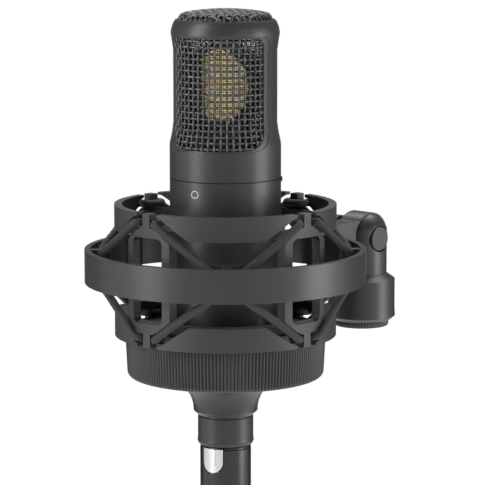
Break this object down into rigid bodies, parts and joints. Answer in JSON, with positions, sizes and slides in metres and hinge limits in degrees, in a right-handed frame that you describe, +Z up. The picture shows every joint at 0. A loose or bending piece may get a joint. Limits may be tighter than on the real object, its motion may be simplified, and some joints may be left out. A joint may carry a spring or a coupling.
{
  "type": "condenser microphone",
  "caption": "Side-address condenser microphone in an elastic shock mount with a tilting stand swivel and a plugged-in cable connector.",
  "frame": {"origin": "mouth of the stand thread at the bottom of the swivel, on the thread's axis", "axes": "+Z up along the thread and the microphone; the microphone stands in front of the swivel, towards -Y; +X to the right seen from the front"},
  "size_m": [0.1016, 0.1384, 0.2077],
  "materials": {
    "ring_paint": "satin fine-textured anthracite paint",
    "cage_plastic": "satin moulded anthracite",
    "lock_plastic": "ribbed black moulding",
    "soft_rubber": "matt black",
    "elastic_braid": "black braided sheath",
    "body_paint": "satin anthracite coating",
    "grille_paint": "satin anthracite coating on a casting",
    "mesh_wire": "blackened woven wire",
    "fine_mesh": "fine woven wire",
    "gold_film": "gold-coated film",
    "brass_part": "turned brass",
    "bright_steel": "bright",
    "latch_chrome": "bright plated",
    "black_plastic": "black moulding",
    "screw_black": "black oxide",
    "plug_metal": "black satin plating",
    "alloy": "plain machined",
    "board": "green laminate",
    "component": "moulded component bodies"
  },
  "bodies": {
    "adapter": {"stand_socket": "ring_paint", "thread_bush": "screw_black", "pivot_screw": "ring_paint", "knob_washer": "bright_steel"},
    "ring": {"outer_ring": "ring_paint", "cord_hooks": "cage_plastic", "pivot_bush": "brass_part", "friction_washers": "black_plastic"},
    "cradle": {"cage": "cage_plastic", "collet": "black_plastic", "collet_liner": "soft_rubber", "upper_cord": "elastic_braid", "lower_cord": "elastic_braid"},
    "clamp_ring": {"lock_ring": "lock_plastic"},
    "mic": {"body_tube": "body_paint", "xlr_shell": "body_paint", "xlr_insert": "black_plastic", "xlr_pins": "bright_steel", "shell_screw": "bright_steel", "grille_frame": "grille_paint", "grille_screws": "screw_black", "window_mesh": "mesh_wire", "top_mesh": "mesh_wire", "mesh_ring": "alloy", "inner_mesh": "fine_mesh", "front_diaphragm": "gold_film", "rear_diaphragm": "gold_film", "capsule_backplate": "brass_part", "front_clamp_ring": "black_plastic", "rear_clamp_ring": "black_plastic", "capsule_screws": "bright_steel", "capsule_saddle": "black_plastic", "capsule_isolator": "soft_rubber", "capsule_deck": "alloy", "deck_screws": "bright_steel", "chassis_rails": "alloy", "base_plate": "alloy", "amp_board": "board", "amp_capacitors": "component", "amp_transistors": "component", "line_driver_board": "board", "switch_board": "board", "slide_switches": "bright_steel"},
    "pad": {"pad_slider": "black_plastic"},
    "low_cut": {"low_cut_slider": "black_plastic"},
    "plug": {"connector_shell": "plug_metal", "connector_insert": "black_plastic", "connector_contacts": "brass_part", "latch_spring": "bright_steel", "cable_chuck": "black_plastic", "connector_boot": "soft_rubber"},
    "latch": {"latch_tab": "latch_chrome"},
    "knob": {"tilt_knob": "black_plastic", "knob_insert": "brass_part"}
  },
  "joints": [
    {"name": "tilt", "type": "hinge", "parent": "adapter", "child": "ring", "pos_m": [0, 0, 0.0339], "axis": [1, 0, 0], "range_deg": [-90, 15]},
    {"name": "cage_float", "type": "slide", "parent": "ring", "child": "cradle", "axis": [0, 0, 1], "range_m": [-0.0025, 0.0025], "stiffness_N_per_m": 1500, "springref_m": 0.0019, "deforming": ["upper_cord", "lower_cord"]},
    {"name": "lock_ring_turn", "type": "hinge", "parent": "cradle", "child": "clamp_ring", "pos_m": [0, -0.0746, -0.0027], "axis": [0, 0, 1], "range_deg": [-120, 0]},
    {"name": "mic_turn", "type": "hinge", "parent": "cradle", "child": "mic", "pos_m": [0, -0.0746, 0.0263], "axis": [0, 0, 1], "range_deg": [-180, 180]},
    {"name": "pad_switch", "type": "slide", "parent": "mic", "child": "pad", "axis": [-0.9806, -0.1959, 0], "range_m": [0, 0.002]},
    {"name": "low_cut_switch", "type": "slide", "parent": "mic", "child": "low_cut", "axis": [-0.9806, -0.1959, 0], "range_m": [0, 0.002]},
    {"name": "connector_pull", "type": "slide", "parent": "mic", "child": "plug", "axis": [0, 0, -1], "range_m": [0, 0.02]},
    {"name": "latch_press", "type": "slide", "parent": "plug", "child": "latch", "axis": [-0.1959, 0.9806, 0], "range_m": [0, 0.0006], "stiffness_N_per_m": 1500},
    {"name": "tilt_knob_turn", "type": "hinge", "parent": "adapter", "child": "knob", "pos_m": [-0.0136, 0, 0.0339], "axis": [1, 0, 0], "range_deg": [-180, 0]}
  ]
}
